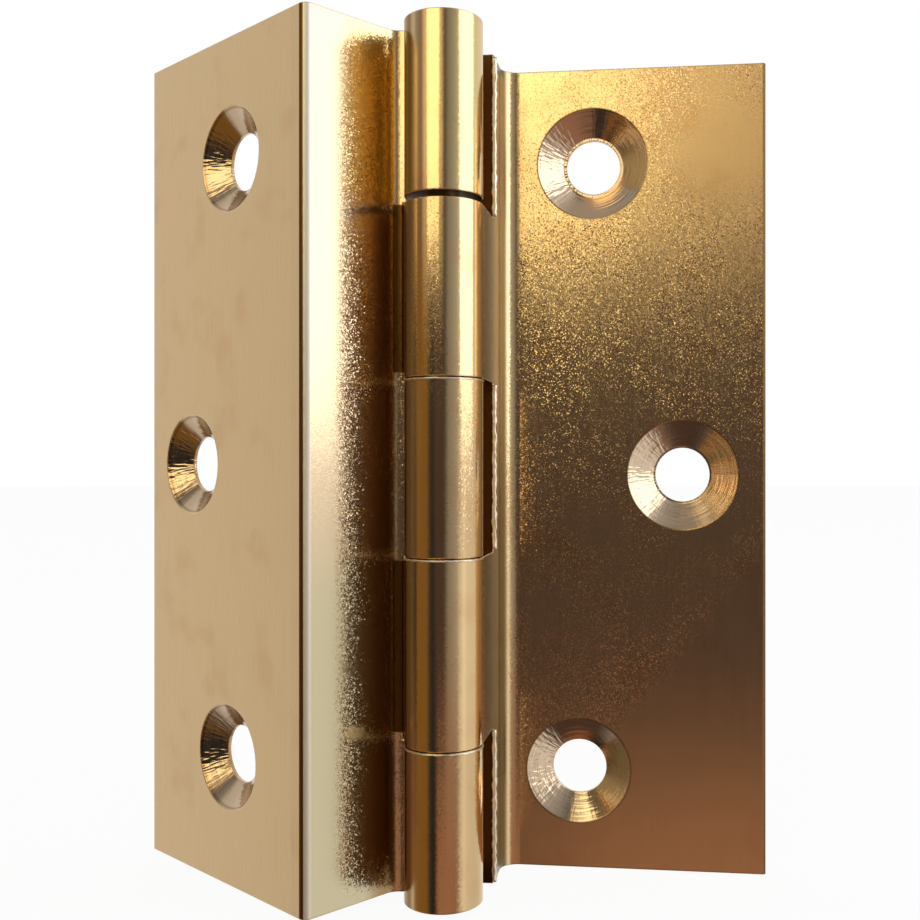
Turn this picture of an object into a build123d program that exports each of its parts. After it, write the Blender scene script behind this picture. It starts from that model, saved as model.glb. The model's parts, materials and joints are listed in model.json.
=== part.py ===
"""A double-cranked cabinet butt hinge of rolled brass-plated sheet, standing half open.

Millimetres, +Z up. Two folded leaves turn on one pin: the cranked leaf carries the
top, middle and bottom knuckles and the frame leaf the two between them. Both leaves
are drawn first in the closed pose, nested one L inside the other, round a pin that
stands at the origin. The cranked leaf is then opened to the pose of the photograph,
and the whole hinge is set down with the middle of its outline over the origin.
"""

import os
from math import acos, cos, degrees, radians, sin, tan

from build123d import *

# Sheet and pin
SHEET = 1.65              # thickness of both leaves
PIN_RADIUS = 1.15
PIN_CLEARANCE = 0.05      # running fit between the pin and the rolled knuckles, on radius
PIN_RECESS = 0.3          # how far each pin end lies inside its knuckle
PIN_CHAMFER = 0.3
SEAM_GAP = 0.4            # slit between the lip of a rolled knuckle and its own sheet
EDGE_BREAK = 0.06         # chamfer of the knuckles' rims and of the leaves' two ends
UPRIGHT_ROUND = 0.2       # rounding of the upright cut edges, more than EDGE_BREAK
MOUTH_ROUND = 0.06        # rounding of a countersink's rim

# Leaves
LEAF_HEIGHT = 63.5        # two and a half inches
LEAF_DROP = 0.6           # how much lower the frame leaf hangs than the cranked leaf
CRANK = 9.53              # pin axis to the near face of the frame leaf's plate
CLOSED_GAP = 0.17         # between the two plates when the hinge is shut
FLANGE_GAP = 0.99         # between the two flanges when the hinge is shut
FRAME_REACH = 20.8        # flange face to the free edge of the frame leaf's plate
CRANKED_REACH = 21.5      # outer corner to the free edge of the cranked leaf's plate
JOGGLE_ANGLE = 51.3       # set of the strip that runs from the flange to the barrel
OPENING = 217.4           # how far the photograph shows the cranked leaf swung open

# Bends
FRAME_BEND = 1.4          # inside radius of the frame leaf's square bend
CRANKED_BEND = 0.6        # outside radius of the cranked leaf's sharper square bend
CRANKED_CREASE = 0.3      # inside radius of the same bend
JOGGLE_BEND = 1.1         # inside radius of the set in the cranked leaf

# Knuckles, from the top down. The bottom knuckle takes what height is left.
TOP_KNUCKLE = 12.76
UPPER_KNUCKLE = 12.6
MIDDLE_KNUCKLE = 12.78
LOWER_KNUCKLE = 13.5
TOP_GAP = 0.42            # under the top knuckle, where the end play shows
KNUCKLE_GAP = 0.06        # between the others
NOTCH_CLEARANCE = 0.55    # cranked leaf's notches round the other leaf's knuckles
FRAME_NOTCH = 5.16        # pin axis to the edge of the frame leaf's notches

# Screw holes. The top ones are placed by their distance below the leaf's top edge, the
# middle ones by how far they lie below its mid-height, and the low ones by their height
# over its bottom edge. Then come the distance across the plate from its bend (flange
# face or outer corner) and the width of the countersink at the surface.
HOLE_RADIUS = 2.15
HOLE_LAND = 0.25          # straight wall left under each countersink
COUNTERSINK_ANGLE = 110.0
FRAME_TOP_DROP, FRAME_TOP_ACROSS, FRAME_TOP_SINK = 7.48, 7.22, 8.8
FRAME_MID_SAG, FRAME_MID_ACROSS, FRAME_MID_SINK = 0.49, 14.35, 8.7
FRAME_LOW_RISE, FRAME_LOW_ACROSS, FRAME_LOW_SINK = 7.72, 6.11, 8.28
CRANKED_TOP_DROP, CRANKED_TOP_ACROSS, CRANKED_TOP_SINK = 9.16, 9.65, 7.6
CRANKED_MID_SAG, CRANKED_MID_ACROSS, CRANKED_MID_SINK = 0.24, 15.3, 7.4
CRANKED_LOW_RISE, CRANKED_LOW_ACROSS, CRANKED_LOW_SINK = 9.56, 10.08, 7.6
SECOND_CUT_WIDTH = 6.74   # the frame leaf's middle hole was sunk twice: a flatter cone
SECOND_CUT_LEDGE = 0.15   # begins at this width and ends this far outside the hole

# Sizes that follow from those above
BORE_RADIUS = PIN_RADIUS + PIN_CLEARANCE
BARREL_RADIUS = BORE_RADIUS + SHEET
FRAME_TOP = LEAF_HEIGHT
FRAME_MIDDLE = LEAF_HEIGHT / 2
CRANKED_TOP = LEAF_HEIGHT + LEAF_DROP
CRANKED_MIDDLE = LEAF_HEIGHT / 2 + LEAF_DROP
CRANKED_OFFSET = BARREL_RADIUS + FLANGE_GAP      # pin axis to the cranked leaf's flange face
CRANKED_CRANK = CRANK - CLOSED_GAP               # pin axis to the cranked leaf's plate face

# Heights of the knuckles' ends in the assembled hinge
TOP_END = CRANKED_TOP - TOP_KNUCKLE
UPPER_START = TOP_END - TOP_GAP
UPPER_END = UPPER_START - UPPER_KNUCKLE
MIDDLE_START = UPPER_END - KNUCKLE_GAP
MIDDLE_END = MIDDLE_START - MIDDLE_KNUCKLE
LOWER_START = MIDDLE_END - KNUCKLE_GAP
LOWER_END = LOWER_START - LOWER_KNUCKLE
BOTTOM_START = LOWER_END - KNUCKLE_GAP

MARGIN = 1.0              # how far cutting tools run past what they cut
TOUCH = 0.001             # faces closer than this lie in one plane


def round_corner(section, corner, radius):
    """Round the corner of a flat section that lies nearest to a point."""
    nearest = section.vertices().sort_by_distance(Vector(*corner))[0]
    return fillet(nearest, radius)


def rolled_section(tangent_angle, inner_path, outer_path):
    """Section of a folded sheet whose end is rolled clockwise into an open curl.

    The curl leaves the straight sheet at tangent_angle round the pin. inner_path and
    outer_path carry on from its inside and its outside to the free edge of the plate.
    """
    seam = degrees(acos((BORE_RADIUS - SEAM_GAP) / BARREL_RADIUS))
    inside = CenterArc((0, 0), BORE_RADIUS, tangent_angle, seam - 360)
    outside = CenterArc((0, 0), BARREL_RADIUS, tangent_angle, seam - 360)
    lip = Line(inside @ 1, outside @ 1)
    faces = Polyline(inside @ 0, *inner_path, *reversed(outer_path), outside @ 0)
    return make_face(Curve() + [inside, outside, lip, faces])


def frame_section():
    """Section of the frame leaf: its outer roll surface runs on as the flange face."""
    edge = BARREL_RADIUS + FRAME_REACH
    corner = (BARREL_RADIUS, CRANK)
    heel = (BORE_RADIUS, CRANK + SHEET)
    section = rolled_section(
        0,
        inner_path=[heel, (edge, CRANK + SHEET)],
        outer_path=[corner, (edge, CRANK)],
    )
    section = round_corner(section, corner, FRAME_BEND)
    return round_corner(section, heel, FRAME_BEND + SHEET)


def joggle_point(offset, distance):
    """Where a flange face at offset meets a strip face at distance from the pin axis."""
    slope = radians(JOGGLE_ANGLE)
    return (offset, (offset * cos(slope) - distance) / sin(slope))


def cranked_section():
    """Section of the cranked leaf: an L whose flange is set outward of the barrel."""
    edge = CRANKED_OFFSET + CRANKED_REACH
    back = CRANKED_OFFSET + SHEET
    set_near = joggle_point(CRANKED_OFFSET, BORE_RADIUS)
    set_far = joggle_point(back, BARREL_RADIUS)
    corner = (CRANKED_OFFSET, CRANKED_CRANK)
    crease = (back, CRANKED_CRANK - SHEET)
    section = rolled_section(
        -JOGGLE_ANGLE,
        inner_path=[set_near, corner, (edge, CRANKED_CRANK)],
        outer_path=[set_far, crease, (edge, CRANKED_CRANK - SHEET)],
    )
    section = round_corner(section, set_near, JOGGLE_BEND)
    section = round_corner(section, set_far, JOGGLE_BEND + SHEET)
    section = round_corner(section, corner, CRANKED_BEND)
    return round_corner(section, crease, CRANKED_CREASE)


def outer_edges(faces):
    """The edges of some faces, without those in the leaf's inside corners."""
    found = ShapeList()
    for edge in faces.edges():
        if not edge.is_interior and not any(edge.is_same(other) for other in found):
            found.append(edge)
    return found


def level_faces(leaf, level):
    """The flat cut faces of a leaf at one height."""
    return leaf.faces().filter_by(Axis.Z).filter_by_position(Axis.Z, level - TOUCH, level + TOUCH)


def round_upright(leaf, walls):
    """Round the upright edges of some cut faces of a leaf."""
    return fillet(outer_edges(walls).filter_by(Axis.Z), UPRIGHT_ROUND)


def cut_notches(leaf, spans, reach, turn=0.0):
    """Clear the sheet round the other leaf's knuckles and round the upright cut edges.

    Each span is the height range of one notch, and reach is how far the notches run
    from the pin, in the direction of +Y turned round the pin.
    """
    width = 2 * (CRANKED_OFFSET + SHEET + MARGIN)
    depth = BARREL_RADIUS + MARGIN + reach
    leaf = Rot(0, 0, -turn) * leaf
    for low, high in spans:
        leaf -= Pos(0, reach - depth / 2, (low + high) / 2) * Box(width, depth, high - low)
    walls = leaf.faces().filter_by_position(Axis.Y, reach - TOUCH, reach + TOUCH)
    return Rot(0, 0, turn) * round_upright(leaf, walls)


def finish_cuts(leaf):
    """Round the free edge of the plate, then break the knuckles' rims and both ends."""
    leaf = round_upright(leaf, leaf.faces().sort_by(Axis.X)[-1:])
    for level in {round(face.center().Z, 3) for face in leaf.faces().filter_by(Axis.Z)}:
        leaf = chamfer(outer_edges(level_faces(leaf, level)), EDGE_BREAK)
    return leaf


def round_mouths(leaf, face):
    """Round the rims of the countersinks in the plate face at that distance along Y."""
    rims = leaf.edges().filter_by(GeomType.CIRCLE)
    return fillet(rims.filter_by_position(Axis.Y, face - TOUCH, face + TOUCH), MOUTH_ROUND)


def screw_hole(sink_width, across, height, face, inward, second_cut=False):
    """Cutter for one countersunk hole; inward is +1 or -1 along Y from the plate face."""
    sink = SHEET - HOLE_LAND
    rim = sink_width / 2
    spread = tan(radians(COUNTERSINK_ANGLE / 2))
    floor = max(HOLE_RADIUS, rim - sink * spread)
    through = SHEET + MARGIN
    profile = [(0, -MARGIN), (rim + MARGIN * spread, -MARGIN)]
    if second_cut:
        start = SECOND_CUT_WIDTH / 2
        profile.append((start, (rim - start) / spread))
        floor = HOLE_RADIUS + SECOND_CUT_LEDGE
    profile.append((floor, sink))
    if floor > HOLE_RADIUS:
        profile.append((HOLE_RADIUS, sink))
    profile += [(HOLE_RADIUS, through), (0, through)]
    cutter = revolve(make_face(Polyline(*profile, close=True)), Axis.Y)
    turn = 0 if inward > 0 else 180
    return Pos(across, face, height) * Rot(turn, 0, 0) * cutter


def make_frame_leaf():
    """The leaf with the upper and lower knuckles, its plate square to the Y axis."""
    spans = (
        (-MARGIN, LOWER_END),
        (LOWER_START, UPPER_END),
        (UPPER_START, FRAME_TOP + MARGIN),
    )
    leaf = extrude(frame_section(), LEAF_HEIGHT)
    leaf = finish_cuts(cut_notches(leaf, spans, FRAME_NOTCH))
    for height, across, sink, second_cut in (
        (FRAME_TOP - FRAME_TOP_DROP, FRAME_TOP_ACROSS, FRAME_TOP_SINK, False),
        (FRAME_MIDDLE - FRAME_MID_SAG, FRAME_MID_ACROSS, FRAME_MID_SINK, True),
        (FRAME_LOW_RISE, FRAME_LOW_ACROSS, FRAME_LOW_SINK, False),
    ):
        leaf -= screw_hole(sink, BARREL_RADIUS + across, height, CRANK, +1, second_cut)
    return round_mouths(leaf, CRANK)


def make_cranked_leaf():
    """The leaf with the top, middle and bottom knuckles, still in the closed pose."""
    spans = ((BOTTOM_START, MIDDLE_END), (MIDDLE_START, TOP_END))
    clear = BARREL_RADIUS + NOTCH_CLEARANCE
    reach = (clear**2 - BORE_RADIUS**2) ** 0.5
    leaf = Pos(0, 0, LEAF_DROP) * extrude(cranked_section(), LEAF_HEIGHT)
    leaf = finish_cuts(cut_notches(leaf, spans, reach, -JOGGLE_ANGLE))
    for height, across, sink in (
        (CRANKED_TOP - CRANKED_TOP_DROP, CRANKED_TOP_ACROSS, CRANKED_TOP_SINK),
        (CRANKED_MIDDLE - CRANKED_MID_SAG, CRANKED_MID_ACROSS, CRANKED_MID_SINK),
        (LEAF_DROP + CRANKED_LOW_RISE, CRANKED_LOW_ACROSS, CRANKED_LOW_SINK),
    ):
        leaf -= screw_hole(sink, CRANKED_OFFSET + across, height, CRANKED_CRANK, -1)
    return round_mouths(leaf, CRANKED_CRANK)


def make_pin():
    """The plain pin through all five knuckles, held by the cranked leaf."""
    length = LEAF_HEIGHT - 2 * PIN_RECESS
    pin = Cylinder(PIN_RADIUS, length)
    pin = chamfer(pin.edges().filter_by(GeomType.CIRCLE), PIN_CHAMFER)
    return Pos(0, 0, LEAF_DROP + LEAF_HEIGHT / 2) * pin


def main():
    """Build the three pieces, open the hinge, set it down and write one file each."""
    opened = Rot(0, 0, -OPENING)
    pieces = {
        "frame_leaf": make_frame_leaf(),
        "cranked_leaf": opened * make_cranked_leaf(),
        "hinge_pin": make_pin(),
    }
    box = Compound(list(pieces.values())).bounding_box()
    middle = box.center()
    seat = Pos(-middle.X, -middle.Y, -box.min.Z)
    os.makedirs("parts", exist_ok=True)
    for name, solid in pieces.items():
        export_step(seat * solid, f"parts/{name}.step")


main()
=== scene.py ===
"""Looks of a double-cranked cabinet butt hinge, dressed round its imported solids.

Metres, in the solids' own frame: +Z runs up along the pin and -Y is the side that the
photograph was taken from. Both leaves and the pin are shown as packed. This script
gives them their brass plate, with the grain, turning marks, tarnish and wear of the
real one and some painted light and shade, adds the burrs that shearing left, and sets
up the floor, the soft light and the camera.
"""

import json
import logging
from dataclasses import dataclass
from enum import Enum
from math import cos, pi, radians, sin

import bpy
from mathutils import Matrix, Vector


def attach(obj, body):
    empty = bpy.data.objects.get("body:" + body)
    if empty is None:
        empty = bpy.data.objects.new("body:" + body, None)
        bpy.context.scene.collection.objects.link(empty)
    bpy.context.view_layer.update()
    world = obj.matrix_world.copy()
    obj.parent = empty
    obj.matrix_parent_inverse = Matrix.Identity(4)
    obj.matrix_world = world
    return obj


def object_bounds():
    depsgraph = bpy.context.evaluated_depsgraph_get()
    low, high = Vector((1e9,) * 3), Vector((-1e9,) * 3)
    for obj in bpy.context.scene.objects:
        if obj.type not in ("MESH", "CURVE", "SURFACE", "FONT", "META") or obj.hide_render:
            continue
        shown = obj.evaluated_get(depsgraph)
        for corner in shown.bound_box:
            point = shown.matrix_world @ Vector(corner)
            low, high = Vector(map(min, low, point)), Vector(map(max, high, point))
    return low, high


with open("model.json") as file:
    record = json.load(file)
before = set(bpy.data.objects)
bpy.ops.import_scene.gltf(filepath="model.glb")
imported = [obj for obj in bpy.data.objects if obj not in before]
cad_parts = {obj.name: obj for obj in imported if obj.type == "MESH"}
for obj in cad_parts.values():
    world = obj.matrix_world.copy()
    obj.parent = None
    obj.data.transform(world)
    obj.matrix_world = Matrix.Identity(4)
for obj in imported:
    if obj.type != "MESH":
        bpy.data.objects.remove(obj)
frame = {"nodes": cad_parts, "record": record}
CAD_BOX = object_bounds()

LOG = logging.getLogger("hinge")
MM = 0.001

# Mouths of the countersinks in millimetres, and how far their finish may reach past them.
SINK_RADII = {"frame_hole_top": 4.4, "frame_hole_middle": 4.35, "frame_hole_bottom": 4.15,
              "cranked_hole_top": 3.8, "cranked_hole_middle": 3.7, "cranked_hole_bottom": 3.8}
SINK_MARGIN = 0.12 * MM

# Burrs: their sides, the steps along them, how they are roughened, and the size of those
# round the knuckles.
BURR_SIDES = 10
BURR_OUTWARDS = 0.6
BURR_SMOOTHING = 0.5
UPRIGHT_STEP = 0.2 * MM
RING_STEPS = 128
RIM_BURR = 0.09 * MM
RIM_UNEVENNESS = 0.05 * MM
RIM_REACH = 2.81 * MM

# Ranges that leave nothing out: distances and heights, and degrees.
ANYWHERE = (-99.0 * MM, 99.0 * MM)
ALL_ROUND = (-400.0, 400.0)

Rgb = tuple[float, float, float]
Socket = bpy.types.NodeSocket
PIN = Vector(frame["record"]["behaviour"]["joints"][0]["pos_m"])


class Recipe:
    """Nodes of one material or world, added and wired with a line each."""

    def __init__(self, tree: bpy.types.NodeTree) -> None:
        """Take over an empty or default node tree.

        Args:
            tree: the tree to fill; its present nodes are removed.
        """
        tree.nodes.clear()
        self.tree = tree

    def plug(self, socket: Socket, value: object) -> None:
        """Link a socket to another, or set its own value.

        Args:
            socket: the input to feed.
            value: an output socket, a number, or a tuple of numbers.
        """
        if isinstance(value, bpy.types.NodeSocket):
            self.tree.links.new(value, socket)
        elif isinstance(value, tuple) and len(value) == 3 and len(socket.default_value) == 4:
            socket.default_value = (*value, 1.0)
        else:
            socket.default_value = value

    def node(self, kind: str, inputs: dict | None = None, **settings: object) -> bpy.types.Node:
        """Add a node.

        Args:
            kind: Blender's name of the node type.
            inputs: values or sockets for its inputs, by name or number.
            **settings: its own properties.

        Returns:
            The new node.
        """
        made = self.tree.nodes.new(kind)
        for name, value in settings.items():
            setattr(made, name, value)
        for name, value in (inputs or {}).items():
            self.plug(made.inputs[name], value)
        return made

    def math(self, operation: str, *values: object) -> Socket:
        """One arithmetic step.

        Args:
            operation: the Math node's operation.
            *values: numbers or sockets.

        Returns:
            The result's socket.
        """
        return self.node("ShaderNodeMath", dict(enumerate(values)), operation=operation).outputs[0]

    def vector(self, operation: str, *values: object, out: str = "Vector") -> Socket:
        """One vector step.

        Args:
            operation: the Vector Math node's operation.
            *values: vectors, numbers or sockets, in the order of the inputs.
            out: which output to return.

        Returns:
            The result's socket.
        """
        inputs = dict(enumerate(values))
        return self.node("ShaderNodeVectorMath", inputs, operation=operation).outputs[out]

    def dot(self, first: object, second: object) -> Socket:
        """Dot product of two vectors or sockets."""
        return self.vector("DOT_PRODUCT", first, second, out="Value")

    def times(self, *values: object) -> Socket:
        """Multiply numbers and sockets.

        Args:
            *values: two or more numbers or sockets.

        Returns:
            The product's socket.
        """
        product, *others = values
        for value in others:
            product = self.math("MULTIPLY", product, value)
        return product

    def mix(self, share: object, first: object, second: object) -> Socket:
        """Mix two numbers.

        Args:
            share: how much of the second counts, from 0 to 1.
            first: a number or socket.
            second: a number or socket.

        Returns:
            The mixed number's socket.
        """
        return self.node("ShaderNodeMix", {0: share, 2: first, 3: second}).outputs[0]

    def ramp(self, value: Socket, low: float, high: float,
             start: object = 0.0, end: object = 1.0) -> Socket:
        """A smooth step from start to end as value goes from low to high.

        Args:
            value: what to follow.
            low: where the step starts.
            high: where it ends; it may be below low.
            start: the result at low.
            end: the result at high.

        Returns:
            The result's socket.
        """
        inputs = {"Value": value, "From Min": low, "From Max": high, "To Min": start, "To Max": end}
        if high < low:
            inputs.update({"From Min": high, "From Max": low, "To Min": end, "To Max": start})
        return self.node("ShaderNodeMapRange", inputs, interpolation_type="SMOOTHSTEP").outputs[0]

    def noise(self, vector: Socket, size: float, detail: float = 2.0) -> Socket:
        """Smooth noise between 0 and 1.

        Args:
            vector: where to read it.
            size: width of its blotches, in the vector's own unit.
            detail: how many finer layers it has.

        Returns:
            The noise's socket.
        """
        inputs = {"Vector": vector, "Scale": 1.0 / size, "Detail": detail}
        return self.node("ShaderNodeTexNoise", inputs).outputs["Fac"]

    def direct_rays(self) -> tuple[Socket, Socket]:
        """Tell the rays that see the background as it is from those that only light things.

        Returns:
            Whether a ray comes straight from the camera, and whether it comes from there or
            by way of metal or glass.
        """
        path = self.node("ShaderNodeLightPath").outputs
        straight = path["Is Camera Ray"]
        mirrored = self.math("MAXIMUM", path["Is Glossy Ray"], path["Is Transmission Ray"])
        return straight, self.math("MAXIMUM", straight, mirrored)

    def stops(self, value: Socket, levels: list[tuple[float, float]]) -> Socket:
        """A grey that goes smoothly through given levels.

        Args:
            value: what to follow, from 0 to 1.
            levels: pairs of a value and the grey there, in order.

        Returns:
            The grey's socket.
        """
        made = self.node("ShaderNodeValToRGB", {"Fac": value})
        ramp = made.color_ramp
        ramp.interpolation = "EASE"
        while len(ramp.elements) > 1:
            ramp.elements.remove(ramp.elements[-1])
        for number, (place, grey) in enumerate(levels):
            stop = ramp.elements[0] if number == 0 else ramp.elements.new(place)
            stop.position = place
            stop.color = (grey, grey, grey, 1.0)
        return made.outputs["Color"]

    def blend(self, share: object, first: object, second: object) -> Socket:
        """Mix two colours.

        Args:
            share: how much of the second shows, from 0 to 1.
            first: a colour or socket.
            second: a colour or socket.

        Returns:
            The mixed colour's socket.
        """
        made = self.node("ShaderNodeMix", data_type="RGBA")
        for name, value in (("Factor_Float", share), ("A_Color", first), ("B_Color", second)):
            self.plug(next(s for s in made.inputs if s.identifier == name), value)
        return next(s for s in made.outputs if s.identifier == "Result_Color")


class Face(Enum):
    """How the plate of a leaf came off the rolls and the polishing wheel."""

    ORANGE_PEEL = "orange peel"
    SATIN = "satin"


@dataclass(frozen=True)
class Sink:
    """One countersunk screw hole, as its material needs it."""

    centre: Vector
    axis: Vector
    radius: float

    def across(self) -> Vector:
        """The level direction in the plate's face."""
        return self.axis.cross(Vector((0.0, 0.0, 1.0)))


@dataclass
class Surface:
    """What a material knows about the point that it colours."""

    place: Socket
    facing: Socket
    along: Socket
    height: Socket
    from_pin: Socket
    barrel: Socket
    plate: Socket | float


@dataclass(frozen=True)
class StainAndPaintedLight:
    """A dull or dirty part of a leaf, or light or shade painted on it, found by its distance from
    the pin and its normal.
    """

    tint: Rgb
    roughness: float
    normal: Rgb = (0.0, 0.0, 0.0)
    tilt: tuple[float, float] = (0.8, 0.95)
    from_pin: tuple[float, float] = ANYWHERE
    fade: float = 0.05 * MM
    heights: tuple[float, float] = ANYWHERE
    height_fade: float = 0.05 * MM

    def cover(self, recipe: Recipe, surface: Surface) -> Socket:
        """How much of the patch a point has.

        Args:
            recipe: the material's nodes.
            surface: the point.

        Returns:
            A share from 0 to 1.
        """
        share = 1.0
        for value, (first, last), fade in ((surface.from_pin, self.from_pin, self.fade),
                                           (surface.height, self.heights, self.height_fade)):
            share = recipe.times(share, recipe.ramp(value, first - fade, first),
                                 recipe.ramp(value, last + fade, last))
        if any(self.normal):
            match = recipe.dot(surface.facing, self.normal)
            if self.normal[2]:
                match = recipe.math("ABSOLUTE", match)
            share = recipe.times(share, recipe.ramp(match, *self.tilt))
        return share


@dataclass(frozen=True)
class BrassPlate:
    """Bright brass plate over rolled sheet, with its grain, turning marks and wear."""

    name: str
    sinks: tuple[Sink, ...] = ()
    face: Face = Face.SATIN
    stains_and_painted_light: tuple[StainAndPaintedLight, ...] = ()
    flake_flange: Rgb = (0.0, 0.0, 0.0)

    gold: Rgb = (0.90, 0.64, 0.34)
    tarnish: Rgb = (0.80, 0.50, 0.24)
    worn_tint: Rgb = (0.95, 0.76, 0.48)
    sink_tint: Rgb = (0.80, 0.61, 0.42)
    rim_tint: Rgb = (0.40, 0.24, 0.10)
    tarnish_blotches: tuple[float, float] = (0.5, 0.75)
    tarnish_share: float = 0.5
    wear_bend: tuple[float, float] = (0.98, 0.85)
    wear_share: float = 0.5
    rim_share: float = 0.75

    # How dull each part is.
    roughness: float = 0.16
    streak_roughness: float = 0.08
    barrel_roughness: float = 0.11
    sink_roughness: float = 0.13
    satin_roughness: float = 0.27

    # The rolled sheet's grain and waves, and the polishing stripes.
    blotch_size: float = 4.0 * MM
    grain_blotches: tuple[float, float] = (0.3, 0.6)
    grain_levels: tuple[float, float] = (0.55, 1.1)
    grain_size: float = 0.11 * MM
    grain_depth: float = 0.0018 * MM
    barrel_grain: float = 0.35
    wave_size: float = 5.0 * MM
    wave_depth: float = 0.012 * MM
    stripe_size: float = 0.14 * MM
    stripe_squash: float = 0.03
    stripe_depth: float = 0.0009 * MM

    # The plating's tiny facets: more tilted low down and beside the barrel.
    flake_size: float = 0.08 * MM
    flake_tilt: float = 0.5
    low_flakes: float = 1.5
    low_flake_heights: tuple[float, float] = (50.0 * MM, 38.0 * MM)
    flange_flakes: tuple[float, float] = (1.8, 0.2)
    flange_flake_places: tuple[float, float] = (6.2 * MM, 8.2 * MM)
    flange_match: tuple[float, float] = (0.8, 0.95)
    sink_flakes: float = 0.15

    # Where orange peel gives way to smooth plate: low down, and near the top corner.
    smooth_slope: float = 1.1
    smooth_start: float = -3.0 * MM
    smooth_fade: tuple[float, float] = (-1.5 * MM, 2.5 * MM)
    smooth_grain: float = 0.05
    smooth_corner: Rgb = (21.3 * MM, 6.4 * MM, 56.5 * MM)
    corner_fade: tuple[float, float] = (1.5 * MM, 7.0 * MM)
    corner_grain: float = 0.1

    # Turning marks in the countersinks.
    ring_pitch: float = 0.24 * MM
    ring_depth: float = 0.018 * MM
    ring_drift: float = 0.8
    chatter_count: float = 14.0
    chatter_stretch: float = 0.25
    chatter_middle: float = 0.1
    chatter_sector: tuple[float, float] = (1.2, 0.6)
    chatter_levels: tuple[float, float] = (2.6, 0.5)

    # Where a point is: on the plate, its front or a cone, at an edge or on the barrel.
    plate_match: tuple[float, float] = (0.93, 0.985)
    front_match: tuple[float, float] = (-0.6, -0.3)
    cone_match: tuple[float, float] = (0.95, 0.9)
    rim_width: float = 0.13 * MM
    ledge_radius: float = 3.4 * MM
    edge_radius: float = 0.14 * MM
    edge_samples: int = 4
    barrel_radius: float = 2.95 * MM
    barrel_fade: float = 0.2 * MM

    def survey(self, recipe: Recipe) -> Surface:
        """Find out what the finish needs to know about a point.

        Args:
            recipe: the material's nodes.

        Returns:
            The point's surface.
        """
        seen = recipe.node("ShaderNodeTexCoord").outputs
        place, facing = seen["Object"], seen["Normal"]
        part = recipe.node("ShaderNodeSeparateXYZ", {0: place}).outputs
        level = recipe.vector("MULTIPLY", place, (1.0, 1.0, 0.0))
        from_pin = recipe.vector("DISTANCE", level, (PIN.x, PIN.y, 0.0), out="Value")
        barrel = recipe.ramp(from_pin, self.barrel_radius + self.barrel_fade, self.barrel_radius)
        plate = 0.0
        if self.sinks:
            tilt = recipe.dot(facing, tuple(self.sinks[0].axis))
            plate = recipe.ramp(recipe.math("ABSOLUTE", tilt), *self.plate_match)
        return Surface(place, facing, part["X"], part["Z"], from_pin, barrel, plate)

    def holes(self, recipe: Recipe, surface: Surface) -> tuple[Socket, ...]:
        """Find the countersinks on the surface.

        Args:
            recipe: the material's nodes.
            surface: the point.

        Returns:
            Whether the point lies in a countersink, its distance from the hole's axis, its
            angle round it, and whether it lies on the mouth's rim.
        """
        inside, reach, across, rise, rim = 0.0, 0.0, 0.0, 0.0, 0.0
        for sink in self.sinks:
            offset = recipe.vector("SUBTRACT", surface.place, tuple(sink.centre))
            flat = recipe.vector("CROSS_PRODUCT", offset, tuple(sink.axis))
            distance = recipe.vector("LENGTH", flat, out="Value")
            near = recipe.math("LESS_THAN", distance, sink.radius + SINK_MARGIN)
            up = recipe.node("ShaderNodeSeparateXYZ", {0: offset}).outputs["Z"]
            level = recipe.dot(offset, tuple(sink.across()))
            inside = recipe.math("MAXIMUM", inside, near)
            reach = recipe.math("MULTIPLY_ADD", near, distance, reach)
            across = recipe.math("MULTIPLY_ADD", near, level, across)
            rise = recipe.math("MULTIPLY_ADD", near, up, rise)
            off_rim = recipe.math("ABSOLUTE", recipe.math("SUBTRACT", distance, sink.radius))
            rim = recipe.math("MAXIMUM", rim, recipe.ramp(off_rim, self.rim_width, 0.0))
        tilt = recipe.dot(surface.facing, tuple(self.sinks[0].axis))
        front = recipe.ramp(tilt, *self.front_match)
        sloped = recipe.ramp(tilt, *self.cone_match)
        cut = recipe.math("MAXIMUM", sloped, recipe.math("LESS_THAN", reach, self.ledge_radius))
        angle = recipe.math("ARCTAN2", rise, across)
        return recipe.times(inside, cut, front), reach, angle, recipe.times(rim, front)

    def turning(self, recipe: Recipe, reach: Socket, angle: Socket) -> Socket:
        """Rings and chatter that the countersinking bit left.

        Args:
            recipe: the material's nodes.
            reach: distance from the hole's axis.
            angle: angle round it.

        Returns:
            Their height.
        """
        round_it = recipe.node("ShaderNodeCombineXYZ", {
            0: recipe.times(reach, 1.0 / self.ring_pitch),
            1: recipe.times(angle, self.ring_drift)}).outputs[0]
        rings = recipe.noise(round_it, 1.0)
        spokes = recipe.node("ShaderNodeCombineXYZ", {
            0: recipe.times(reach, self.chatter_stretch / self.ring_pitch),
            1: recipe.times(angle, self.chatter_count)}).outputs[0]
        chatter = recipe.noise(spokes, 1.0, detail=1.0)
        off_middle = recipe.math("ABSOLUTE", recipe.math("SUBTRACT", angle, self.chatter_middle))
        sector = recipe.ramp(off_middle, *self.chatter_sector)
        marks = recipe.times(chatter, recipe.math("MULTIPLY_ADD", sector, *self.chatter_levels))
        return recipe.times(recipe.math("ADD", rings, marks), self.ring_depth)

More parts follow.
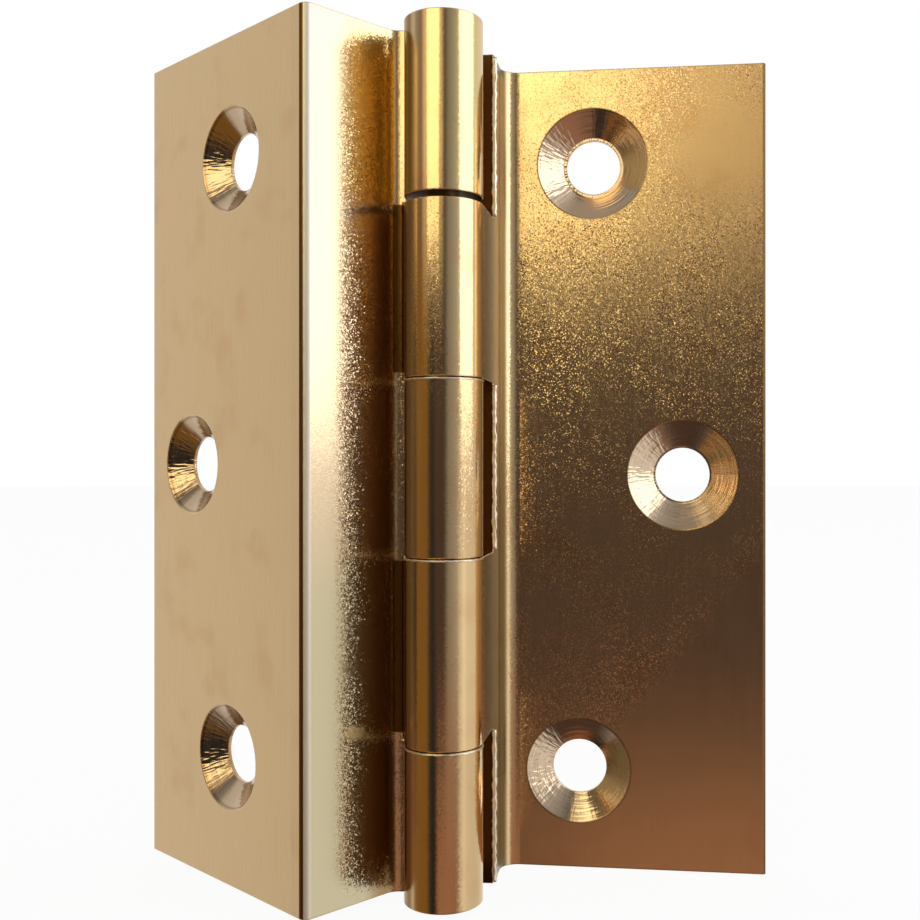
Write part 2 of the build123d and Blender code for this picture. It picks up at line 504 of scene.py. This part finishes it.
    def grain_share(self, recipe: Recipe, surface: Surface, satin: Socket,
                    blotch: Socket) -> Socket:
        """How strongly the sheet's grain shows through the plating.

        Args:
            recipe: the material's nodes.
            surface: the point.
            satin: how far it is satin-finished.
            blotch: broad noise.

        Returns:
            A share, about 0 to 1.
        """
        share = recipe.times(recipe.math("SUBTRACT", 1.0, satin),
                             recipe.ramp(blotch, *self.grain_blotches, *self.grain_levels))
        if self.face is not Face.ORANGE_PEEL:
            return share
        edge = recipe.math("MULTIPLY_ADD", surface.along, self.smooth_slope, self.smooth_start)
        above = recipe.math("SUBTRACT", surface.height, edge)
        corner = recipe.vector("DISTANCE", surface.place, self.smooth_corner, out="Value")
        peel = recipe.times(recipe.ramp(above, *self.smooth_fade, self.smooth_grain, 1.0),
                            recipe.ramp(corner, *self.corner_fade, self.corner_grain, 1.0))
        off_plate = recipe.math("SUBTRACT", 1.0, surface.plate)
        return recipe.times(share, recipe.math("MAXIMUM", peel, off_plate))

    def relief(self, recipe: Recipe, surface: Surface, satin: Socket, grained: Socket,
               stripes: Socket) -> Socket:
        """Height of the grain, the rolled waves and the polishing stripes.

        Args:
            recipe: the material's nodes.
            surface: the point.
            satin: how far it is satin-finished.
            grained: how strongly its grain shows.
            stripes: the stripes' noise.

        Returns:
            The height's socket, in metres.
        """
        grain = recipe.noise(surface.place, self.grain_size, detail=1.0)
        waves = recipe.noise(surface.place, self.wave_size, detail=1.0)
        height = recipe.times(grain, self.grain_depth, grained)
        height = recipe.math("MULTIPLY_ADD", waves, self.wave_depth, height)
        lined = recipe.times(stripes, recipe.math("MAXIMUM", surface.barrel, satin))
        return recipe.math("MULTIPLY_ADD", lined, self.stripe_depth, height)

    def flaked(self, recipe: Recipe, surface: Surface, grained: Socket, inside: object,
               normal: Socket) -> Socket:
        """Tilt each of the plating's tiny facets its own way, a few of them strongly.

        Args:
            recipe: the material's nodes.
            surface: the point.
            grained: how strongly its grain shows.
            inside: whether it lies in a countersink.
            normal: the normal to tilt.

        Returns:
            The tilted normal's socket.
        """
        low = recipe.ramp(surface.height, *self.low_flake_heights, 1.0, self.low_flakes)
        tilt = recipe.times(grained, self.flake_tilt, low)
        if any(self.flake_flange):
            match = recipe.dot(surface.facing, self.flake_flange)
            flange = recipe.ramp(surface.from_pin, *self.flange_flake_places, *self.flange_flakes)
            tilt = recipe.times(tilt, recipe.ramp(match, *self.flange_match, 1.0, flange))
        if self.sinks:
            tilt = recipe.times(tilt, recipe.ramp(inside, 0.0, 1.0, 1.0, self.sink_flakes))
        flakes = recipe.node("ShaderNodeTexVoronoi", {
            "Vector": surface.place, "Scale": 1.0 / self.flake_size}).outputs["Color"]
        flakes = recipe.vector("SUBTRACT", flakes, (0.5, 0.5, 0.5))
        flakes = recipe.vector("MULTIPLY", flakes, recipe.vector("MULTIPLY", flakes, flakes))
        tilted = recipe.node("ShaderNodeVectorMath", {0: flakes, "Scale": tilt},
                             operation="SCALE").outputs[0]
        return recipe.vector("NORMALIZE", recipe.vector("ADD", normal, tilted))

    def make(self) -> bpy.types.Material:
        """Build the finish as a material.

        Returns:
            The new material.
        """
        material = bpy.data.materials.new(self.name)
        material.use_nodes = True
        recipe = Recipe(material.node_tree)
        surface = self.survey(recipe)
        satin = recipe.times(surface.plate, 1.0 if self.face is Face.SATIN else 0.0)
        blotch = recipe.noise(surface.place, self.blotch_size)
        upright = recipe.vector("MULTIPLY", surface.place, (1.0, 1.0, self.stripe_squash))
        stripes = recipe.noise(upright, self.stripe_size)
        grained = recipe.times(self.grain_share(recipe, surface, satin, blotch),
                               recipe.ramp(surface.barrel, 0.0, 1.0, 1.0, self.barrel_grain))
        height = self.relief(recipe, surface, satin, grained, stripes)

        worn = recipe.node("ShaderNodeBevel", {"Radius": self.edge_radius},
                           samples=self.edge_samples).outputs[0]
        true = recipe.node("ShaderNodeNewGeometry").outputs["Normal"]
        edge_wear = recipe.ramp(recipe.dot(worn, true), *self.wear_bend)
        tarnished = recipe.ramp(blotch, *self.tarnish_blotches, 0.0, self.tarnish_share)

        colour = recipe.blend(tarnished, self.gold, self.tarnish)
        colour = recipe.blend(recipe.times(edge_wear, self.wear_share), colour, self.worn_tint)
        rough = recipe.math("MULTIPLY_ADD", stripes, self.streak_roughness,
                            self.roughness - self.streak_roughness / 2)
        for share, level in ((satin, self.satin_roughness),
                             (surface.barrel, self.barrel_roughness)):
            rough = recipe.math("MULTIPLY_ADD", share, level - self.roughness, rough)
        # Blend in the stains and the painted light and shade.
        for stain_and_painted_light in self.stains_and_painted_light:
            share = stain_and_painted_light.cover(recipe, surface)
            colour = recipe.blend(share, colour, stain_and_painted_light.tint)
            rough = recipe.mix(share, rough, stain_and_painted_light.roughness)
        inside = 0.0
        if self.sinks:
            inside, reach, angle, rim = self.holes(recipe, surface)
            height = recipe.mix(inside, height, self.turning(recipe, reach, angle))
            colour = recipe.blend(inside, colour, self.sink_tint)
            colour = recipe.blend(recipe.times(rim, self.rim_share), colour, self.rim_tint)
            rough = recipe.mix(inside, rough, self.sink_roughness)
        bump = recipe.node("ShaderNodeBump", {
            "Height": height, "Strength": 1.0, "Distance": 1.0,
            "Normal": self.flaked(recipe, surface, grained, inside, worn)})
        shader = recipe.node("ShaderNodeBsdfPrincipled", {
            "Base Color": colour, "Metallic": 1.0, "Roughness": rough, "Normal": bump.outputs[0]})
        output = recipe.node("ShaderNodeOutputMaterial")
        recipe.plug(output.inputs["Surface"], shader.outputs[0])
        return material


# Painted shade on the knuckles' end faces, in the gaps between them.
KNUCKLE_GAP_SHADE = StainAndPaintedLight((0.14, 0.07, 0.02), 0.40, (0.0, 0.0, 1.0), from_pin=(0.0, 2.95 * MM),
                     heights=(1.0 * MM, 63.0 * MM))
BARE_BURR = BrassPlate("burr_brass", gold=(0.97, 0.88, 0.70), tarnish=(0.85, 0.66, 0.40),
                       roughness=0.34, barrel_roughness=0.34)
BARREL_SHADE = StainAndPaintedLight((0.34, 0.19, 0.06), 0.14, (-1.0, 0.0, 0.0), tilt=(0.58, 0.74),
                     from_pin=(2.7 * MM, 2.93 * MM))


def dress(node: str, finish: BrassPlate) -> bpy.types.Material:
    """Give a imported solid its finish.

    Args:
        node: the solid's name.
        finish: how it looks.

    Returns:
        The material.
    """
    piece = frame["nodes"][node]
    material = finish.make()
    piece.data.materials.clear()
    piece.data.materials.append(material)
    LOG.info("dressed %s", piece.name)
    return material


@dataclass
class Burr:
    """A rough ridge that shearing left along a cut edge."""

    name: str
    radius: float
    unevenness: float
    seed: int

    def finish(self, body: str, material: bpy.types.Material) -> bpy.types.Object:
        """Roughen the ridge that is being edited, dress it and fix it to its leaf.

        Args:
            body: the body that it moves with.
            material: its finish.

        Returns:
            The finished ridge.
        """
        bpy.ops.mesh.select_all(action="SELECT")
        bpy.ops.transform.vertex_random(
            offset=self.unevenness, normal=BURR_OUTWARDS, seed=self.seed)
        bpy.ops.mesh.vertices_smooth(factor=BURR_SMOOTHING, repeat=1)
        bpy.ops.object.mode_set(mode="OBJECT")
        bpy.ops.object.transform_apply(location=True, rotation=True, scale=True)
        bpy.ops.object.shade_smooth()
        ridge = bpy.context.object
        ridge.name = self.name
        ridge.data.materials.append(material)
        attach(ridge, body)
        LOG.info("built %s", ridge.name)
        return ridge

    def upright(self, place: Rgb, length: float) -> None:
        """Start a ridge that stands upright.

        Args:
            place: its middle.
            length: its height.
        """
        bpy.ops.object.select_all(action="DESELECT")
        bpy.ops.mesh.primitive_cylinder_add(
            vertices=BURR_SIDES, radius=self.radius, depth=length, location=place)
        bpy.ops.object.mode_set(mode="EDIT")
        for number in range(1, int(length / UPRIGHT_STEP)):
            level = place[2] - length / 2 + number * UPRIGHT_STEP
            bpy.ops.mesh.select_all(action="SELECT")
            bpy.ops.mesh.bisect(plane_co=(*place[:2], level), plane_no=(0.0, 0.0, 1.0))

    def ring(self, level: float) -> None:
        """Start a ridge that lies round a knuckle.

        Args:
            level: its height.
        """
        bpy.ops.object.select_all(action="DESELECT")
        bpy.ops.mesh.primitive_torus_add(
            major_segments=RING_STEPS, minor_segments=BURR_SIDES, major_radius=RIM_REACH,
            minor_radius=self.radius, location=(PIN.x, PIN.y, level))
        bpy.ops.object.mode_set(mode="EDIT")


def add_rim_burrs(leaf: str, levels: tuple[float, ...], seed: int,
                  material: bpy.types.Material) -> None:
    """Add the burrs round the rims of a leaf's knuckles.

    Args:
        leaf: the leaf's body and node.
        levels: the rims' heights.
        seed: number before that of the first random draw.
        material: the burrs' finish.
    """
    for number, level in enumerate(levels, 1):
        burr = Burr(f"{leaf}_rim_burr_{number}", RIM_BURR, RIM_UNEVENNESS, seed + number)
        burr.ring(level)
        burr.finish(leaf, material)


@dataclass
class FrameLeaf:
    """The leaf on the right, with the second and fourth knuckles."""

    node: str = "frame_leaf"
    notch_edge: tuple[float, float] = (3.93 * MM, 2.06 * MM)
    notches: tuple[tuple[float, float], ...] = (
        (0.2 * MM, 11.8 * MM), (25.6 * MM, 38.2 * MM), (51.1 * MM, 63.3 * MM))
    rims: tuple[float, ...] = (25.31 * MM,)
    burr: float = 0.19 * MM
    unevenness: float = 0.12 * MM

    def finish(self) -> BrassPlate:
        """The leaf's plating, with painted shade on its duller flange and on its notch walls, and a
        painted dark reflection along its free edge.
        """
        rightwards, outwards = (1.0, 0.0, 0.0), (0.0, -1.0, 0.0)
        # Painted shade on the flange, which is also made duller.
        dull_shaded_flange = StainAndPaintedLight((0.22, 0.17, 0.09), 0.28, rightwards, tilt=(0.6, 0.85),
                            from_pin=(3.0 * MM, 9.8 * MM))
        # Painted shade on the notch walls.
        notch_wall_shade = StainAndPaintedLight((0.07, 0.03, 0.008), 0.40, outwards, from_pin=(4.9 * MM, 6.3 * MM))
        # A painted dark reflection along the free edge.
        free_edge_reflection = StainAndPaintedLight((0.22, 0.11, 0.04), 0.35, rightwards, tilt=(0.1, 0.4),
                          from_pin=(22.0 * MM, 40.0 * MM))
        return BrassPlate("frame_leaf_brass", sinks_of("frame_hole"), Face.ORANGE_PEEL, (
            dull_shaded_flange, notch_wall_shade, BARREL_SHADE, free_edge_reflection, KNUCKLE_GAP_SHADE))

    def build(self) -> None:
        """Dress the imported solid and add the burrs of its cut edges."""
        dress(self.node, self.finish())
        bright = BARE_BURR.make()
        for number, (low, high) in enumerate(self.notches, 1):
            burr = Burr(f"{self.node}_notch_burr_{number}", self.burr, self.unevenness, number)
            burr.upright((*self.notch_edge, (low + high) / 2), high - low)
            burr.finish(self.node, bright)
        add_rim_burrs(self.node, self.rims, 10, bright)


@dataclass
class CrankedLeaf:
    """The leaf on the left, with the top, middle and bottom knuckles."""

    node: str = "cranked_leaf"
    flange_normal: Rgb = (0.794415, -0.607376, 0.0)
    fold_normal: Rgb = (0.342, -0.940, 0.0)
    fold_side_normal: Rgb = (-0.34, -0.940, 0.0)
    flange_span: tuple[float, float] = (3.9 * MM, 12.0 * MM)
    fold_span: tuple[float, float] = (9.4 * MM, 10.8 * MM)
    strip_span: tuple[float, float] = (3.0 * MM, 4.1 * MM)
    rims: tuple[float, ...] = (11.75 * MM, 38.15 * MM)

    def finish(self) -> BrassPlate:
        """The leaf's plating, with its satin plate, painted light on its flange and painted shade
        beside the barrel.
        """
        flange = self.flange_normal
        return BrassPlate("cranked_leaf_brass", sinks_of("cranked_hole"), Face.SATIN, (
            # The flange: painted light, a paler and cooler tint for the whiter light that it
            # mirrors, greener low down.
            StainAndPaintedLight((0.88, 0.68, 0.44), 0.19, flange, from_pin=self.flange_span),
            StainAndPaintedLight((0.76, 0.66, 0.42), 0.19, flange, from_pin=self.flange_span,
                  heights=(-9.0 * MM, 21.0 * MM), height_fade=8.0 * MM),
            # Painted shade on the flange beside the barrel, below the top knuckle.
            StainAndPaintedLight((0.50, 0.33, 0.16), 0.26, flange, from_pin=(3.8 * MM, 4.5 * MM),
                  fade=1.4 * MM, heights=(-9.0 * MM, 49.0 * MM), height_fade=3.0 * MM),
            # The scratched spot on the flange.
            StainAndPaintedLight((0.95, 0.74, 0.36), 0.34, flange, from_pin=(6.1 * MM, 6.5 * MM),
                  fade=0.8 * MM, heights=(12.8 * MM, 13.0 * MM), height_fade=0.7 * MM),
            # A painted highlight along the fold between flange and plate, and a painted dark
            # reflection beside it.
            StainAndPaintedLight((0.98, 0.92, 0.80), 0.55, self.fold_normal, tilt=(0.90, 0.94),
                  from_pin=self.fold_span),
            StainAndPaintedLight((0.20, 0.11, 0.04), 0.30, self.fold_side_normal, tilt=(0.95, 0.975),
                  from_pin=self.fold_span),
            # Painted shadow: a dark line beside the barrel; painted shade on the strip beside the
            # frame leaf's knuckles.
            StainAndPaintedLight((0.05, 0.02, 0.006), 0.40, from_pin=(2.96 * MM, 3.26 * MM)),
            StainAndPaintedLight((0.16, 0.07, 0.015), 0.30, from_pin=self.strip_span,
                  heights=(38.9 * MM, 51.2 * MM)),
            StainAndPaintedLight((0.16, 0.07, 0.015), 0.30, from_pin=self.strip_span,
                  heights=(12.4 * MM, 25.0 * MM)),
            BARREL_SHADE,
            KNUCKLE_GAP_SHADE,
            # Painted reflection of the top knuckle: the flange beside it yellower.
            StainAndPaintedLight((0.95, 0.76, 0.35), 0.20, flange, from_pin=(3.9 * MM, 6.0 * MM), fade=2.0 * MM,
                  heights=(52.4 * MM, 63.0 * MM), height_fade=1.6 * MM),
        ), sink_tint=(0.70, 0.52, 0.34), flake_flange=flange)

    def build(self) -> None:
        """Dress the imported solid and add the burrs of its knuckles' rims."""
        dress(self.node, self.finish())
        add_rim_burrs(self.node, self.rims, 20, BARE_BURR.make())


@dataclass
class HingePin:
    """The plain pin through the five knuckles."""

    node: str = "hinge_pin"

    def build(self) -> None:
        """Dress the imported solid."""
        dress(self.node, BrassPlate("hinge_pin_brass"))


@dataclass(frozen=True)
class Glow:
    """A soft-edged patch of the studio, as polished metal mirrors it."""

    azimuth: tuple[float, float]
    elevation: tuple[float, float]
    soft: float
    colour: Rgb

    def cover(self, recipe: Recipe, azimuth: Socket, elevation: Socket) -> Socket:
        """How much of the patch a direction meets.

        Args:
            recipe: the world's nodes.
            azimuth: the direction's azimuth in degrees.
            elevation: its elevation in degrees.

        Returns:
            A share from 0 to 1.
        """
        share = 1.0
        for angle, (first, last) in ((azimuth, self.azimuth), (elevation, self.elevation)):
            for edge, way in ((first, 1.0), (last, -1.0)):
                step = recipe.ramp(angle, edge - way * self.soft, edge + way * self.soft)
                share = recipe.times(share, step)
        return share


@dataclass
class Softbox:
    """A soft lamp that shines at the middle of the hinge."""

    name: str
    azimuth: float
    elevation: float
    width: float
    height: float
    level: float
    tint: Rgb = (1.0, 1.0, 1.0)
    distance: float = 0.6

    def hang(self, target: Vector) -> bpy.types.Object:
        """Add the lamp to the scene.

        Args:
            target: the point that it shines at.

        Returns:
            The lamp.
        """
        side, rise = radians(self.azimuth), radians(self.elevation)
        away = Vector((sin(side) * cos(rise), -cos(side) * cos(rise), sin(rise)))
        light = bpy.data.lights.new(self.name, "AREA")
        light.shape = "RECTANGLE"
        light.size, light.size_y = self.width, self.height
        light.energy = self.level * pi * self.width * self.height
        light.color = self.tint
        lamp = bpy.data.objects.new(self.name, light)
        bpy.context.scene.collection.objects.link(lamp)
        lamp.location = target + away * self.distance
        lamp.rotation_euler = (-away).to_track_quat("-Z", "Y").to_euler()
        lamp.visible_camera = False
        return lamp


@dataclass
class Studio:
    """Floor, surrounding light, lamps and camera."""

    camera_place: Rgb = (17.79 * MM, -84.74 * MM, 32.35 * MM)
    camera_turn: float = 6.8
    camera_focus: float = 1147.0
    image_width: float = 920.0
    image_centre: tuple[float, float] = (540.0, 461.0)
    sensor_width: float = 36.0
    view_range: tuple[float, float] = (1.0 * MM, 10.0)
    floor_radius: float = 1.5
    floor_sides: int = 96
    floor_tint: Rgb = (0.8, 0.8, 0.8)
    floor_white: float = 0.94
    soft_light: Rgb = (0.75, 0.75, 0.75)
    lamps: tuple[Softbox, ...] = (
        Softbox("right_softbox", 82.0, 24.0, 0.50, 0.5, 1.25, (0.97, 1.0, 1.03)),
        Softbox("top_left_softbox", -19.5, 31.6, 0.37, 0.42, 1.15, (1.0, 0.93, 0.58)),
    )
    room: tuple[tuple[float, float], ...] = (
        (-180.0, 0.85), (-130.0, 0.8), (-100.0, 0.64), (-88.0, 0.6), (-72.0, 0.25),
        (-47.0, 0.1), (-34.0, 0.04), (-12.0, 0.015), (3.0, 0.03), (12.0, 0.08), (30.0, 0.27),
        (48.0, 0.38), (60.0, 0.66), (72.0, 0.88), (86.0, 0.74), (110.0, 0.7), (180.0, 0.85),
    )
    glows: tuple[Glow, ...] = (
        Glow(ALL_ROUND, (62.0, 400.0), 14.0, (0.38, 0.36, 0.34)),
        Glow((-84.0, -34.0), (-50.0, 14.0), 8.0, (0.20, 0.11, 0.03)),
        Glow((-9.0, 55.0), (-60.0, -13.0), 8.0, (0.32, 0.18, 0.13)),
        Glow(ALL_ROUND, (-400.0, -55.0), 14.0, (0.07, 0.045, 0.035)),
        Glow((-16.0, 14.0), (-13.0, 8.0), 6.0, (0.062, 0.046, 0.048)),
        Glow((-52.0, 9.0), (10.5, 60.0), 6.0, (0.72, 0.60, 0.40)),
    )

    def lay_floor(self) -> bpy.types.Object:
        """Lay a plain pale floor that keeps the hinge's soft shadow.

        Returns:
            The floor.
        """
        bpy.ops.mesh.primitive_circle_add(
            vertices=self.floor_sides, radius=self.floor_radius, fill_type="NGON")
        floor = bpy.context.object
        floor.name = "floor"
        material = bpy.data.materials.new("pale_floor")
        material.use_nodes = True
        recipe = Recipe(material.node_tree)
        _, direct = recipe.direct_rays()
        diffuse = recipe.node("ShaderNodeBsdfDiffuse", {"Color": self.floor_tint})
        white = recipe.node("ShaderNodeEmission", {"Color": (1.0, 1.0, 1.0), "Strength": 1.0})
        share = recipe.times(direct, self.floor_white)
        mix = recipe.node("ShaderNodeMixShader", {
            0: share, 1: diffuse.outputs[0], 2: white.outputs[0]})
        output = recipe.node("ShaderNodeOutputMaterial")
        recipe.plug(output.inputs["Surface"], mix.outputs[0])
        floor.data.materials.append(material)
        floor.visible_glossy = False
        return floor

    def surround(self) -> None:
        """Surround the hinge with soft light, white behind it and dim in front."""
        world = bpy.data.worlds.new("studio")
        bpy.context.scene.world = world
        world.use_nodes = True
        recipe = Recipe(world.node_tree)
        direction = recipe.node("ShaderNodeTexCoord").outputs["Generated"]
        straight, direct = recipe.direct_rays()
        split = recipe.node("ShaderNodeSeparateXYZ", {0: direction}).outputs
        forward = recipe.times(split["Y"], -1.0)
        azimuth = recipe.math("DEGREES", recipe.math("ARCTAN2", split["X"], forward))
        elevation = recipe.math("DEGREES", recipe.math("ARCSINE", split["Z"]))
        studio = recipe.stops(recipe.math("MULTIPLY_ADD", azimuth, 1.0 / 360.0, 0.5), [
            (0.5 + angle / 360.0, level) for angle, level in self.room])
        for glow in self.glows:
            studio = recipe.blend(glow.cover(recipe, azimuth, elevation), studio, glow.colour)
        seen = recipe.blend(straight, studio, (1.0, 1.0, 1.0))
        final = recipe.blend(direct, self.soft_light, seen)
        background = recipe.node("ShaderNodeBackground", {"Color": final, "Strength": 1.0})
        output = recipe.node("ShaderNodeOutputWorld")
        recipe.plug(output.inputs["Surface"], background.outputs[0])

    def place_camera(self) -> bpy.types.Object:
        """Put the camera where the photograph was taken from.

        Returns:
            The camera.
        """
        lens = bpy.data.cameras.new("camera")
        lens.sensor_width = self.sensor_width
        lens.lens = self.camera_focus / self.image_width * lens.sensor_width
        lens.shift_x = (self.image_width / 2 - self.image_centre[0]) / self.image_width
        lens.shift_y = (self.image_centre[1] - self.image_width / 2) / self.image_width
        lens.clip_start, lens.clip_end = self.view_range
        camera = bpy.data.objects.new("camera", lens)
        camera.location = self.camera_place
        camera.rotation_euler = (pi / 2, 0.0, radians(self.camera_turn))
        bpy.context.scene.collection.objects.link(camera)
        bpy.context.scene.camera = camera
        return camera

    def build(self) -> None:
        """Set up everything round the hinge."""
        low, high = CAD_BOX
        self.lay_floor()
        self.surround()
        for lamp in self.lamps:
            lamp.hang((low + high) / 2)
        self.place_camera()
        bpy.context.scene.view_settings.view_transform = "Standard"


def sinks_of(prefix: str) -> tuple[Sink, ...]:
    """The countersinks of one leaf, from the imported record.

    Args:
        prefix: how the names of their mounts begin.

    Returns:
        The countersinks.
    """
    return tuple(
        Sink(Vector(mount["pos_m"]), Vector(mount["axis"]), SINK_RADII[mount["name"]] * MM)
        for mount in frame["record"]["mounts"] if mount["name"].startswith(prefix))


def main() -> None:
    """Dress the hinge piece by piece, then set up the studio."""
    logging.basicConfig(level=logging.INFO, format="%(message)s")
    FrameLeaf().build()
    CrankedLeaf().build()
    HingePin().build()
    Studio().build()


if __name__ == "__main__":
    main()
